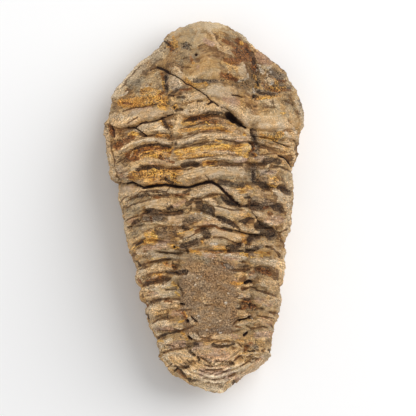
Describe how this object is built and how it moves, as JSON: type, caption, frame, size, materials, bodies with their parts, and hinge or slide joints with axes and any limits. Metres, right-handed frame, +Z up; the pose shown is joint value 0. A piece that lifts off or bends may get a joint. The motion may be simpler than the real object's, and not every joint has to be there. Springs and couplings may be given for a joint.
{
  "type": "calymene trilobite fossil",
  "caption": "Long domed trilobite fossil in stone, with a broad head, ribbed three-lobed body, small tail and flat underside.",
  "frame": {"origin": "on the ground, under the middle of the fossil", "axes": "+Y from the tail to the head, +Z up through the ribbed back, +X to the right as seen from above with the head away"},
  "size_m": [0.0492, 0.092, 0.026],
  "materials": {
    "fossil_stone": "rough natural stone, tan with ochre, rust and dark streaks"
  },
  "bodies": {
    "root": {"trilobite_fossil": "fossil_stone"}
  },
  "joints": []
}
